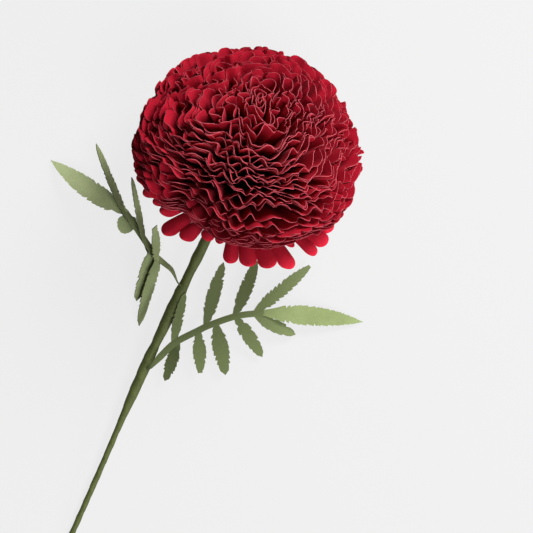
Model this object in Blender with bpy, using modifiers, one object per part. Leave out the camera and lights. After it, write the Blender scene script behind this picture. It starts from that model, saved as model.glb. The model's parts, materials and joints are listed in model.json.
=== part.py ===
"""Handmade paper flower, lying as it comes to rest on a flat surface.

A ball of ruffled paper discs is threaded on a bent wire, over one wider disc of long petals.
The wire is wound with floral tape, and two cut-paper leaves, each with a wire glued under its rib,
are bound to it. Sizes are in metres, +Z is up and +Y runs from the stem's cut end to the flower.
"""

import math
import random

import bmesh
import bpy
from mathutils import Matrix, Vector

MM = 0.001
COLLECTION = "paper_flower"

# Paper and clearances
PAPER = 0.40 * MM
LEAF_PAPER = 0.45 * MM
CLEARANCE = 0.30 * MM

# Head outline: an oval dome above its widest ring, tucked in below it
HEAD_RADIUS = 55.4 * MM
DOME_HEIGHT = 40.0 * MM
UNDERSIDE_DEPTH = 27.0 * MM
LOWEST_RIM_ANGLE = math.radians(137.0)
HEAD_TILT = math.radians(36.0)
HEAD_TURN = math.radians(8.0)
HEAD_CENTRE_HEIGHT = 51.4 * MM
OUTLINE_STEPS = 400
OUTLINE_BEYOND = 1.06

# Places where the ball is a little flat: azimuth and reach in degrees, and the share of its radius it loses
HEAD_FLATS = [
    (38.0, 15.0, 0.045),
    (168.0, 24.0, 0.06),
    (226.0, 12.0, 0.04),
    (254.0, 16.0, 0.14),
    (285.0, 22.0, 0.06),
]

# Ruffled layers
LAYERS = 21
APEX_GAP = 3.5 * MM
SEAT_PITCH = 1.15 * MM
KNEE_MIN = 2.6 * MM
KNEE_PITCH = 0.95 * MM
PETAL_WIDTH = 13.5 * MM
FEWEST_PETALS = 6
FOLD_SHARE = 0.39
FOLD_LIMIT = 0.42
FOLD_LEAST = 0.5
PETAL_TIP = 1.3 * MM
PETAL_NOTCH = 1.3 * MM
PETAL_SCATTER = 0.7 * MM
SIDE_SCATTER = 0.16
FULL_REACH_RADIUS = 40.5 * MM
SEED = 1200

# Skirt: the lowest disc, cut into long petals with round ends
SKIRT_SEAT = -26.0 * MM
SKIRT_RIM = -24.0 * MM
SKIRT_PETALS = 36
SKIRT_FIRST_CENTRE = 8.5
SKIRT_RADIUS = 51.5 * MM
SKIRT_NOTCH_RADIUS = 33.0 * MM
SKIRT_LENGTH_SCATTER = 1.8 * MM
SKIRT_LIFT_SCATTER = 0.9 * MM

# Half of a petal's round end: share of its half width, and how far it lies short of the tip
PLAIN_END = [(0.68, 4.0)]
ROUND_END = [(0.88, 4.0), (0.5, 1.0)]

# Skirt petals that lean or differ in length: petal number, lean in degrees and length in mm
SHAPED_PETALS = {
    20: (0.0, 51.0),
    21: (0.0, 50.5),
    22: (2.0, 49.5),
    23: (4.0, 51.3),
    24: (1.5, 46.2),
    25: (1.5, 41.0),
    26: (0.5, 40.0),
    27: (0.0, 49.5),
    28: (0.0, 50.5),
    29: (0.0, 52.6),
    30: (2.0, 55.4),
    31: (1.0, 45.0),
    32: (-3.0, 55.0),
    33: (-4.0, 54.5),
    34: (-2.0, 52.0),
    35: (0.0, 50.0),
}

# Stem
WIRE_RADIUS = 0.9 * MM
WIRE_ABOVE_TOP_SEAT = 1.0 * MM
WIRE_BELOW_TAPE = 1.5 * MM
STRAIGHT_BELOW_HEAD = 5.0 * MM
STEM_ROUTE = [
    (1.6, -26.5, 19.6),
    (-1.4, -40.0, 17.6),
    (-2.6, -60.0, 15.9),
    (-3.5, -85.0, 13.7),
    (-4.3, -110.0, 11.5),
    (-4.6, -140.0, 8.8),
    (-4.4, -175.0, 5.6),
    (-4.5, -220.0, 1.6),
]
TAPE_RADII = [(0, 2.7), (22, 2.5), (46, 3.1), (82, 3.1), (98, 2.45), (120, 1.95), (140, 1.55), (200, 1.5)]
STEM_STEPS = 26
TUBE_SIDES = 10
CURVE_FINENESS = 24
DIRECTION_REACH = 0.4 * MM

# Leaves
RIB_WIDTH = 3.4 * MM
RIB_TIP_WIDTH = 3.2 * MM
LEAFLET_BASE = 3.2 * MM
RIB_STEP = 4.5 * MM
LEAF_WIRE_RADIUS = 0.35 * MM
LEAF_WIRE_GAP = 0.3 * MM
LEAF_WIRE_REACH = 0.32
LEAF_WIRE_START = 6.0 * MM
TEETH = 3
TOOTH_DEPTH = 0.22
FIRST_TOOTH = 0.16
TOOTHED_SHARE = 0.70
TOOTH_RISE = 0.72
LAST_NOTCH = 0.88

# A leaflet's half width follows a sine from a blunt base to a pointed tip
BASE_BLUNTNESS = 0.16
WIDEST_TOWARDS_BASE = 0.72
LEAFLET_FULLNESS = 0.55
TERMINAL_FULLNESS = 0.85

# Each leaflet: distance along the rib, side, tip in mm, width in mm, roll of its face in degrees
RIGHT_RIB = [
    (-1.6, -117.0, 15.2),
    (1.2, -108.5, 14.6),
    (4.8, -100.3, 13.6),
    (12.6, -90.6, 12.0),
    (17.0, -85.5, 11.2),
    (27.6, -75.9, 9.5),
    (39.5, -69.0, 8.0),
]
RIGHT_RIB_ROLL = [0, 0, 0, 0, 0, 0, 0]
RIGHT_LEAFLETS = [
    (18.0, 1, (-1.0, -75.5, 17.0), 5.4, 30),
    (18.0, -1, (7.4, -120.9, 6.0), 6.4, 20),
    (30.0, -1, (22.1, -110.0, 5.0), 6.4, -8),
    (36.0, 1, (10.5, -53.8, 12.0), 6.6, 8),
    (40.0, -1, (34.3, -105.8, 4.0), 8.0, 5),
    (51.5, 1, (25.3, -46.5, 10.0), 6.6, -6),
    (51.5, -1, (47.7, -89.9, 3.0), 6.8, 8),
    (62.0, 1, (51.1, -38.0, 6.0), 6.6, 10),
    (62.0, -1, (58.5, -72.8, 3.0), 6.4, -10),
]
RIGHT_TIP = ((87.4, -53.1, 0.6), 9.6, 0)
LEFT_RIB = [
    (-6.4, -72.3, 18.5),
    (-11.3, -67.9, 19.6),
    (-16.0, -66.3, 21.5),
    (-21.7, -64.5, 23.5),
    (-28.5, -60.2, 25.5),
    (-36.6, -55.1, 26.5),
    (-43.7, -50.9, 24.0),
]
LEFT_RIB_ROLL = [80, 55, 38, 30, 25, 20, 12]
LEFT_LEAFLETS = [
    (16.5, 1, (-26.8, -51.6, 38.0), 6.4, 55),
    (16.5, -1, (-15.9, -100.8, 4.0), 7.2, 58),
    (25.5, 1, (-46.9, -33.8, 38.0), 7.0, 70),
    (22.0, -1, (-22.0, -89.6, 8.0), 8.0, 45),
    (35.0, -1, (-16.9, -74.0, 10.0), 5.0, 65),
    (40.5, 1, (-71.8, -25.3, 16.0), 7.4, 66),
    (40.5, -1, (-39.5, -60.1, 12.0), 7.0, 20),
]
LEFT_TIP = ((-91.2, -42.0, 0.6), 9.8, 0)


def clear_scene():
    """Start from an empty file."""
    for obj in list(bpy.data.objects):
        bpy.data.objects.remove(obj, do_unlink=True)


def material(name, colour, roughness):
    """One Principled material with the part's colour."""
    mat = bpy.data.materials.new(name)
    mat.use_nodes = True
    shader = mat.node_tree.nodes["Principled BSDF"]
    shader.inputs["Base Color"].default_value = (*colour, 1.0)
    shader.inputs["Roughness"].default_value = roughness
    shader.inputs["Metallic"].default_value = 0.0
    mat.diffuse_color = (*colour, 1.0)
    return mat


def add_object(name, data, mat, collection, parent):
    """Put a mesh or curve in the collection under its parent."""
    obj = bpy.data.objects.new(name, data)
    data.materials.append(mat)
    collection.objects.link(obj)
    obj.parent = parent
    return obj


def add_empty(name, collection, parent):
    """A frame that pieces are placed in."""
    empty = bpy.data.objects.new(name, None)
    empty.hide_render = True
    collection.objects.link(empty)
    empty.parent = parent
    return empty


def mesh_from(name, bm):
    """Close a bmesh into mesh data with faces turned out."""
    bmesh.ops.recalc_face_normals(bm, faces=bm.faces)
    mesh = bpy.data.meshes.new(name)
    bm.to_mesh(mesh)
    bm.free()
    return mesh


def thicken(obj, thickness):
    """Give an open sheet its paper thickness, half to each side."""
    solid = obj.modifiers.new("Paper", "SOLIDIFY")
    solid.thickness = thickness
    solid.offset = 0.0
    return solid


def smooth_curve(points):
    """Closely spaced points on a smooth curve through the route's points, and their distances along it."""
    curve = []
    count = len(points)
    for i in range(count - 1):
        before = points[max(i - 1, 0)]
        after = points[min(i + 2, count - 1)]
        start_slope = (points[i + 1] - before) * 0.5
        end_slope = (after - points[i]) * 0.5
        for k in range(CURVE_FINENESS):
            t = k / CURVE_FINENESS
            a = 2 * t**3 - 3 * t**2 + 1
            b = t**3 - 2 * t**2 + t
            c = -2 * t**3 + 3 * t**2
            d = t**3 - t**2
            curve.append(a * points[i] + b * start_slope + c * points[i + 1] + d * end_slope)
    curve.append(points[-1].copy())
    lengths = [0.0]
    for i in range(1, len(curve)):
        lengths.append(lengths[-1] + (curve[i] - curve[i - 1]).length)
    return curve, lengths


def point_at(curve, lengths, distance):
    """The point at a distance along a sampled curve."""
    distance = min(max(distance, 0.0), lengths[-1])
    for i in range(1, len(curve)):
        if lengths[i] >= distance:
            span = lengths[i] - lengths[i - 1]
            share = (distance - lengths[i - 1]) / span if span > 0 else 0.0
            return curve[i - 1].lerp(curve[i], share)
    return curve[-1].copy()


def tangent_at(curve, lengths, distance):
    """The unit direction of a sampled curve at a distance along it."""
    ahead = point_at(curve, lengths, distance + DIRECTION_REACH)
    behind = point_at(curve, lengths, distance - DIRECTION_REACH)
    return (ahead - behind).normalized()


def interpolate(table, x):
    """Linear reading of a table of (x, y) pairs."""
    if x <= table[0][0]:
        return table[0][1]
    for (x0, y0), (x1, y1) in zip(table, table[1:]):
        if x <= x1:
            return y0 + (y1 - y0) * (x - x0) / (x1 - x0)
    return table[-1][1]


def outline_point(angle):
    """Radius and height on the head's outline, by the angle from its top."""
    height = DOME_HEIGHT if angle < math.pi / 2 else UNDERSIDE_DEPTH
    return HEAD_RADIUS * math.sin(angle), height * math.cos(angle)


def roundness(angle):
    """The share of its full radius that the ball has at an azimuth."""
    share = 1.0
    for place, reach, loss in HEAD_FLATS:
        off = (math.degrees(angle) - place + 180.0) % 360.0 - 180.0
        share -= loss * math.exp(-((off / reach) ** 2))
    return share


def outline_table():
    """Pairs of length along the outline and (radius, height)."""
    table = [(0.0, outline_point(0.0))]
    for k in range(1, OUTLINE_STEPS + 1):
        spot = outline_point(LOWEST_RIM_ANGLE * OUTLINE_BEYOND * k / OUTLINE_STEPS)
        last_length, last = table[-1]
        table.append((last_length + math.dist(spot, last), spot))
    return table


def on_outline(table, length):
    """Radius and height at a length along the outline from the top."""
    for (l0, p0), (l1, p1) in zip(table, table[1:]):
        if length <= l1:
            share = max(0.0, (length - l0) / (l1 - l0))
            return p0[0] + (p1[0] - p0[0]) * share, p0[1] + (p1[1] - p0[1]) * share
    return table[-1][1]


def full_outline_length(table):
    """Length of the outline from the top to the lowest ruffled rim."""
    return table[round(OUTLINE_STEPS / OUTLINE_BEYOND)][0]


def seat_height(layer):
    """Height of a disc's hole on the wire. Layer 0 is the skirt."""
    return SKIRT_SEAT + SEAT_PITCH * layer


def knee_radius(layer):
    """Radius where a disc turns from its flat middle into its petals."""
    return KNEE_MIN + KNEE_PITCH * (LAYERS - layer)


def ring(bm, count):
    """A ring of joined edges, with its vertices in order."""
    made = bmesh.ops.create_circle(bm, segments=count, radius=1.0)
    return made["verts"]


def petal_sheet(name, seat, knee, rim):
    """A sheet that runs from the ring of its hole over its knee to its rim, one point list each."""
    bm = bmesh.new()
    first = ring(bm, len(seat))
    rows = [first]
    edges = list(bm.edges)
    for _ in range(2):
        made = bmesh.ops.extrude_edge_only(bm, edges=edges)["geom"]
        edges = [item for item in made if isinstance(item, bmesh.types.BMEdge) and item.is_boundary]
        fresh = [item for item in made if isinstance(item, bmesh.types.BMVert)]
        ordered = []
        for vert in rows[-1]:
            nearest = [e.other_vert(vert) for e in vert.link_edges if e.other_vert(vert) in fresh]
            ordered.append(nearest[0])
        rows.append(ordered)
    for row, places in zip(rows, (seat, knee, rim)):
        for vert, place in zip(row, places):
            vert.co = place
    return mesh_from(name, bm)


def polar(radius, angle, height):
    """A point at a radius and angle round the head's axis."""
    return Vector((radius * math.cos(angle), radius * math.sin(angle), height))


def ruffled_layer(layer, table):
    """Points of one ruffled disc: each petal folds to and fro between its neighbours."""
    draw = random.Random(SEED + layer)
    spacing = (full_outline_length(table) - APEX_GAP) / (LAYERS - 1)
    length = APEX_GAP + spacing * (LAYERS - layer)
    rim_radius, _ = on_outline(table, length)
    petals = max(FEWEST_PETALS, round(2 * math.pi * rim_radius / PETAL_WIDTH))
    count = 2 * petals
    fold = min(FOLD_SHARE * spacing, FOLD_LIMIT * length)
    knee = knee_radius(layer)
    low = seat_height(layer)
    hole = WIRE_RADIUS + CLEARANCE
    phase = draw.uniform(0.0, 2 * math.pi)
    seat_ring, knee_ring, rim_ring = [], [], []
    for k in range(count):
        angle = phase + 2 * math.pi * (k + draw.uniform(-SIDE_SCATTER, SIDE_SCATTER)) / count
        depth = draw.uniform(FOLD_LEAST, 1.0) * (1 if k % 2 else -1)
        reach = (PETAL_TIP if k % 2 else -PETAL_NOTCH) + draw.uniform(-PETAL_SCATTER, PETAL_SCATTER)
        reach *= min(1.0, rim_radius / FULL_REACH_RADIUS)
        radius, height = on_outline(table, length + depth * fold)
        radius *= roundness(angle)
        run = Vector((radius - knee, height - low)).normalized()
        seat_ring.append(polar(hole, angle, low))
        knee_ring.append(polar(knee, angle, low))
        rim_ring.append(polar(radius + reach * run.x, angle, height + reach * run.y))
    return seat_ring, knee_ring, rim_ring


def skirt_centre(petal):
    """Azimuth of a skirt petal, which runs on past a full turn."""
    lean, _ = SHAPED_PETALS.get(petal % SKIRT_PETALS, (0.0, 0.0))
    return math.radians(SKIRT_FIRST_CENTRE + 360.0 / SKIRT_PETALS * petal + lean)


def skirt_layer():
    """Points of the lowest disc, cut into long petals with round ends."""
    draw = random.Random(SEED)
    hole = WIRE_RADIUS + CLEARANCE
    knee = knee_radius(0)
    seat_ring, knee_ring, rim_ring = [], [], []
    for petal in range(SKIRT_PETALS):
        length = SKIRT_RADIUS + draw.uniform(-SKIRT_LENGTH_SCATTER, SKIRT_LENGTH_SCATTER)
        lift = draw.uniform(-SKIRT_LIFT_SCATTER, SKIRT_LIFT_SCATTER)
        end = PLAIN_END
        if petal in SHAPED_PETALS:
            length = SHAPED_PETALS[petal][1] * MM
            end = ROUND_END
        centre = skirt_centre(petal)
        left = (centre - skirt_centre(petal - 1)) / 2
        right = (skirt_centre(petal + 1) - centre) / 2
        corners = [(-1.0, SKIRT_NOTCH_RADIUS, 0.0)]
        corners += [(-share, length - short * MM, lift) for share, short in end]
        corners += [(0.0, length, lift)]
        corners += [(share, length - short * MM, lift) for share, short in reversed(end)]
        for share, radius, rise in corners:
            angle = centre + share * (left if share < 0 else right)
            seat_ring.append(polar(hole, angle, seat_height(0)))
            knee_ring.append(polar(knee, angle, seat_height(0)))
            rim_ring.append(polar(radius, angle, SKIRT_RIM + rise))
    return seat_ring, knee_ring, rim_ring


def build_head(collection, parent):
    """All paper discs of the flower, in a frame with its axis along +Z."""
    red = material("red_paper", (0.36, 0.012, 0.028), 0.75)
    head = add_empty("head_frame", collection, parent)
    head.matrix_local = head_matrix()
    table = outline_table()
    mesh = petal_sheet("petal_skirt", *skirt_layer())
    thicken(add_object("petal_skirt", mesh, red, collection, head), PAPER)
    for layer in range(1, LAYERS + 1):
        name = f"petal_layer_{layer:02d}"
        mesh = petal_sheet(name, *ruffled_layer(layer, table))
        thicken(add_object(name, mesh, red, collection, head), PAPER)


def head_matrix():
    """The head's frame: its centre over the origin, tilted back from upright."""
    turn = Matrix.Rotation(HEAD_TURN, 4, "Z") @ Matrix.Rotation(-HEAD_TILT, 4, "X")
    return Matrix.Translation((0.0, 0.0, HEAD_CENTRE_HEIGHT)) @ turn


def stem_route():
    """The wire's centre line from the top seat to the cut end, and where the tape starts on it."""
    frame = head_matrix()
    top = frame @ Vector((0.0, 0.0, seat_height(LAYERS) + WIRE_ABOVE_TOP_SEAT))
    middle = frame @ Vector((0.0, 0.0, seat_height(LAYERS // 2)))
    seat = frame @ Vector((0.0, 0.0, SKIRT_SEAT))
    neck = frame @ Vector((0.0, 0.0, SKIRT_SEAT - STRAIGHT_BELOW_HEAD))
    inside = [top, middle, seat, neck]
    outside = [Vector(spot) * MM for spot in STEM_ROUTE]
    return inside + outside


def tube_rings(bm, curve, lengths, distances, radius_at):
    """Rings of vertices round a curve at the given distances."""
    rings = []
    side = Vector((1.0, 0.0, 0.0))
    for distance in distances:
        along = tangent_at(curve, lengths, distance)
        across = (side - along * side.dot(along)).normalized()
        up = along.cross(across)
        centre = point_at(curve, lengths, distance)
        radius = radius_at(distance)
        verts = []
        for k in range(TUBE_SIDES):
            angle = 2 * math.pi * k / TUBE_SIDES
            verts.append(bm.verts.new(centre + (across * math.cos(angle) + up * math.sin(angle)) * radius))
        rings.append(verts)
    return rings


def join_rings(bm, rings):
    """Faces between each ring and the next."""
    for near, far in zip(rings, rings[1:]):
        for k in range(len(near)):
            j = (k + 1) % len(near)
            bm.faces.new((near[k], near[j], far[j], far[k]))


def build_stem(collection, parent):
    """The stem wire and the sleeve of tape wound round it."""
    steel = material("galvanised_wire", (0.45, 0.45, 0.43), 0.4)
    green = material("floral_tape", (0.09, 0.12, 0.03), 0.7)
    curve, lengths = smooth_curve(stem_route())
    total = lengths[-1]
    start = (stem_route()[0] - stem_route()[2]).length + PAPER / 2 + CLEARANCE
    end = total - WIRE_BELOW_TAPE
    distances = [start + (end - start) * k / STEM_STEPS for k in range(STEM_STEPS + 1)]

    data = bpy.data.curves.new("stem_wire", "CURVE")
    data.dimensions = "3D"
    data.bevel_depth = WIRE_RADIUS
    data.bevel_resolution = 2
    data.use_fill_caps = True
    spline = data.splines.new("POLY")
    wire_distances = [0.0, start / 2, *distances, total]
    spline.points.add(len(wire_distances) - 1)
    for point, distance in zip(spline.points, wire_distances):
        point.co = (*point_at(curve, lengths, distance), 1.0)
    add_object("stem_wire", data, steel, collection, parent)

    bm = bmesh.new()
    bore = WIRE_RADIUS + CLEARANCE
    outer = tube_rings(bm, curve, lengths, distances, lambda d: interpolate(TAPE_RADII, (d - start) / MM) * MM)
    inner = tube_rings(bm, curve, lengths, distances, lambda d: bore)
    join_rings(bm, outer)
    join_rings(bm, inner)
    join_rings(bm, [outer[0], inner[0]])
    join_rings(bm, [outer[-1], inner[-1]])
    add_object("stem_tape", mesh_from("stem_tape", bm), green, collection, parent)


def width_direction(along, roll):
    """Direction across a strip that runs along a line, rolled from flat towards upright."""
    flat = Vector((0.0, 0.0, 1.0)).cross(along).normalized()
    upright = along.cross(flat)
    return flat * math.cos(roll) + upright * math.sin(roll)


def leaflet_rows(fullness):
    """Share of the length, and of the half width, for each row of a toothed leaflet."""
    rows = []
    for tooth in range(TEETH):
        near = FIRST_TOOTH + TOOTHED_SHARE * tooth / TEETH
        far = near + TOOTHED_SHARE / TEETH * TOOTH_RISE
        rows.append((near, leaf_form(near, fullness) * (1.0 - TOOTH_DEPTH)))
        rows.append((far, leaf_form(far, fullness)))
    rows.append((LAST_NOTCH, leaf_form(LAST_NOTCH, fullness) * (1.0 - TOOTH_DEPTH)))
    return rows


def leaf_form(share, fullness):
    """Half width of a leaflet along its length, from 0 to 1."""
    along = min(1.0, BASE_BLUNTNESS + (1.0 - BASE_BLUNTNESS) * share**WIDEST_TOWARDS_BASE)
    return math.sin(math.pi * along) ** fullness


def leaflet(bm, start, tip, width, roll, fullness):
    """One toothed leaflet from the two base vertices, in the rib's order, to its tip."""
    middle = (start[0].co + start[1].co) / 2
    along = (tip - middle).normalized()
    across = width_direction(along, math.radians(roll))
    if across.dot(start[1].co - start[0].co) < 0:
        across.negate()
    last = start
    for share, half in leaflet_rows(fullness):
        centre = middle.lerp(tip, share)
        offset = across * half * width / 2
        fresh = [bm.verts.new(centre - offset), bm.verts.new(centre + offset)]
        bm.faces.new((last[0], last[1], fresh[1], fresh[0]))
        last = fresh
    end = bm.verts.new(tip)
    bm.faces.new((last[0], last[1], end))


def rib_stations(total, leaflets):
    """Distances of the rib's rows: both sides of each leaflet's base, and steps between them."""
    marks = {0.0, total}
    for distance, *_ in leaflets:
        marks.add(distance * MM - LEAFLET_BASE / 2)
        marks.add(distance * MM + LEAFLET_BASE / 2)
    marks = sorted(marks)
    stations = [0.0]
    for near, far in zip(marks, marks[1:]):
        parts = math.ceil((far - near) / RIB_STEP)
        stations += [near + (far - near) * k / parts for k in range(1, parts)]
        stations.append(far)
    return stations


def leaf_sheet(name, rib, rolls, leaflets, terminal):
    """A leaf cut from one sheet: a rib with leaflets on both sides and one at its end."""
    points = [Vector(spot) * MM for spot in rib]
    curve, lengths = smooth_curve(points)
    total = lengths[-1]
    stations = rib_stations(total, leaflets)
    roll_table = [(total * k / (len(rolls) - 1), roll) for k, roll in enumerate(rolls)]
    bm = bmesh.new()
    left, right = {}, {}
    for distance in stations:
        along = tangent_at(curve, lengths, distance)
        across = width_direction(along, math.radians(interpolate(roll_table, distance)))
        half = (RIB_WIDTH + (RIB_TIP_WIDTH - RIB_WIDTH) * distance / total) / 2
        centre = point_at(curve, lengths, distance)
        left[distance] = bm.verts.new(centre + across * half)
        right[distance] = bm.verts.new(centre - across * half)
    for near, far in zip(stations, stations[1:]):
        bm.faces.new((left[near], right[near], right[far], left[far]))
    for distance, side, tip, width, roll in leaflets:
        near = distance * MM - LEAFLET_BASE / 2
        far = distance * MM + LEAFLET_BASE / 2
        edge = left if side > 0 else right
        leaflet(bm, [edge[near], edge[far]], Vector(tip) * MM, width * MM, roll, LEAFLET_FULLNESS)
    tip, width, roll = terminal
    leaflet(bm, [right[total], left[total]], Vector(tip) * MM, width * MM, roll, TERMINAL_FULLNESS)
    return mesh_from(name, bm), curve, lengths, roll_table, stations


def build_leaf(side, rib, rolls, leaflets, terminal, collection, parent):
    """A leaf and the thin wire glued along the underside of its rib."""
    green = material(f"green_paper_{side}", (0.13, 0.18, 0.07), 0.7)
    steel = material(f"leaf_wire_{side}", (0.12, 0.15, 0.06), 0.6)
    name = f"leaf_{side}"
    mesh, curve, lengths, roll_table, stations = leaf_sheet(name, rib, rolls, leaflets, terminal)
    thicken(add_object(name, mesh, green, collection, parent), LEAF_PAPER)
    drop = LEAF_PAPER / 2 + LEAF_WIRE_GAP + LEAF_WIRE_RADIUS
    held = [spot for spot in stations if LEAF_WIRE_START < spot < LEAF_WIRE_REACH * lengths[-1]]
    data = bpy.data.curves.new(f"leaf_wire_{side}", "CURVE")
    data.dimensions = "3D"
    data.bevel_depth = LEAF_WIRE_RADIUS
    data.bevel_resolution = 2
    data.use_fill_caps = True
    spline = data.splines.new("POLY")
    spline.points.add(len(held) - 1)
    for k, distance in enumerate(held):
        along = tangent_at(curve, lengths, distance)
        across = width_direction(along, math.radians(interpolate(roll_table, distance)))
        below = across.cross(along).normalized()
        spline.points[k].co = (*(point_at(curve, lengths, distance) + below * drop), 1.0)
    add_object(f"leaf_wire_{side}", data, steel, collection, parent)


def settle(root, collection):
    """Move the whole flower so that its box stands on the origin."""
    bpy.context.view_layer.update()
    graph = bpy.context.evaluated_depsgraph_get()
    low = Vector((math.inf,) * 3)
    high = Vector((-math.inf,) * 3)
    for obj in collection.objects:
        if obj.type == "EMPTY":
            continue
        shape = obj.evaluated_get(graph)
        mesh = shape.to_mesh()
        for vert in mesh.vertices:
            spot = shape.matrix_world @ vert.co
            low = Vector(map(min, low, spot))
            high = Vector(map(max, high, spot))
        shape.to_mesh_clear()
    root.location = (-(low.x + high.x) / 2, -(low.y + high.y) / 2, -low.z)


def main():
    """Build the flower."""
    clear_scene()
    collection = bpy.data.collections.new(COLLECTION)
    bpy.context.scene.collection.children.link(collection)
    root = add_empty("flower_frame", collection, None)
    build_head(collection, root)
    build_stem(collection, root)
    build_leaf("right", RIGHT_RIB, RIGHT_RIB_ROLL, RIGHT_LEAFLETS, RIGHT_TIP, collection, root)
    build_leaf("left", LEFT_RIB, LEFT_RIB_ROLL, LEFT_LEAFLETS, LEFT_TIP, collection, root)
    settle(root, collection)


main()
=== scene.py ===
"""Looks of a handmade paper flower: ruffled crimson discs, a taped wire stem and two cut leaves.

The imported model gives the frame. Each class below holds one sub-assembly with its sizes, builds its
fine meshes in the place of the plain solids, and dresses them. Lengths in the fields are millimetres.
"""

import json
import logging
import math
import random
from dataclasses import dataclass, field
from enum import Enum
from typing import Any, Sequence

import bmesh
import bpy
import numpy as np
from mathutils import Matrix, Vector


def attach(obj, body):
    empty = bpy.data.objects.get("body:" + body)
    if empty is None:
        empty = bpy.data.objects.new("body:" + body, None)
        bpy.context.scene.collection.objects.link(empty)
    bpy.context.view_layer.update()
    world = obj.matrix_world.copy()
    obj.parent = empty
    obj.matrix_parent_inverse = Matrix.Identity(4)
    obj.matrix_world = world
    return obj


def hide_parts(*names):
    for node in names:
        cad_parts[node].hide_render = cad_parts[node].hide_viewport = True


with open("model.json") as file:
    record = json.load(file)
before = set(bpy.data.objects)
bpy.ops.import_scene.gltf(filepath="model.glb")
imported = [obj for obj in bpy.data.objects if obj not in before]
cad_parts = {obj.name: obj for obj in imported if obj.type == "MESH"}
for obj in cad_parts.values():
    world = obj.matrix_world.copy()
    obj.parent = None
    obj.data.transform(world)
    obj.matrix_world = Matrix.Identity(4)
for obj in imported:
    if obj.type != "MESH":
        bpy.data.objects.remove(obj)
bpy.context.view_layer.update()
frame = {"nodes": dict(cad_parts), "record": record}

MM = 0.001
MM_PER_M = 1000
FULL_TURN = 2 * math.pi
BODY = "root"
LOG = logging.getLogger("paper_flower")

# The cut end of the stem wire in the millimetres that the fields below are written in
CUT_END = (-4.5, -220.0, 1.6)
# Points of a mesh that lie closer than this are made one
WELD = 0.02
# The range that the shift of a wave is drawn from, in radians
SHIFTS = (0.0, 6.28)
# Sockets of a colour mix: that node uses their names again for its other kinds of mix
COLOUR_A, COLOUR_B, COLOUR_OUT = 6, 7, 2

Range = tuple[float, float]
Spot = tuple[float, float, float]
Settings = dict[str | int, Any]
Links = dict[str | int, bpy.types.NodeSocket]


class Side(Enum):
    """The two leaves, named by where they lie from the stem."""

    LEFT = "left"
    RIGHT = "right"


def srgb(code: str) -> tuple[float, float, float, float]:
    """Turn an sRGB hex colour into linear light.

    Args:
        code: six hex digits, with or without a leading hash.

    Returns:
        Linear red, green, blue and an alpha of 1.
    """
    digits = code.lstrip("#")
    channels = [int(digits[i : i + 2], 16) / 255 for i in (0, 2, 4)]
    linear = [c / 12.92 if c <= 0.04045 else ((c + 0.055) / 1.055) ** 2.4 for c in channels]
    return linear[0], linear[1], linear[2], 1.0


def add_node(
    tree: bpy.types.NodeTree, kind: str, settings: Settings | None = None, links: Links | None = None
) -> bpy.types.Node:
    """Add one shader node, set it and link its inputs.

    Args:
        tree: the material's node tree.
        kind: the node's type name, without the ShaderNode that it starts with.
        settings: values by input name or number, or by property name where there is no such input.
        links: output sockets by input name or number.

    Returns:
        The new node.
    """
    node = tree.nodes.new(f"ShaderNode{kind}")
    for key, value in (settings or {}).items():
        if isinstance(key, int) or key in node.inputs:
            node.inputs[key].default_value = value
        else:
            setattr(node, key, value)
    for key, socket in (links or {}).items():
        tree.links.new(socket, node.inputs[key])
    return node


@dataclass(frozen=True)
class Finish:
    """A named material, whose surface each finish below draws in its own way."""

    name: str

    def surface(self, tree: bpy.types.NodeTree) -> bpy.types.NodeSocket:
        """Add the nodes of the surface to the tree and return the shader's output."""
        raise NotImplementedError(self.name)

    def build(self) -> bpy.types.Material:
        """Make the material.

        Returns:
            The new material.
        """
        material = bpy.data.materials.new(self.name)
        material.use_nodes = True
        tree = material.node_tree
        tree.nodes.clear()
        add_node(tree, "OutputMaterial", None, {"Surface": self.surface(tree)})
        return material


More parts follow.
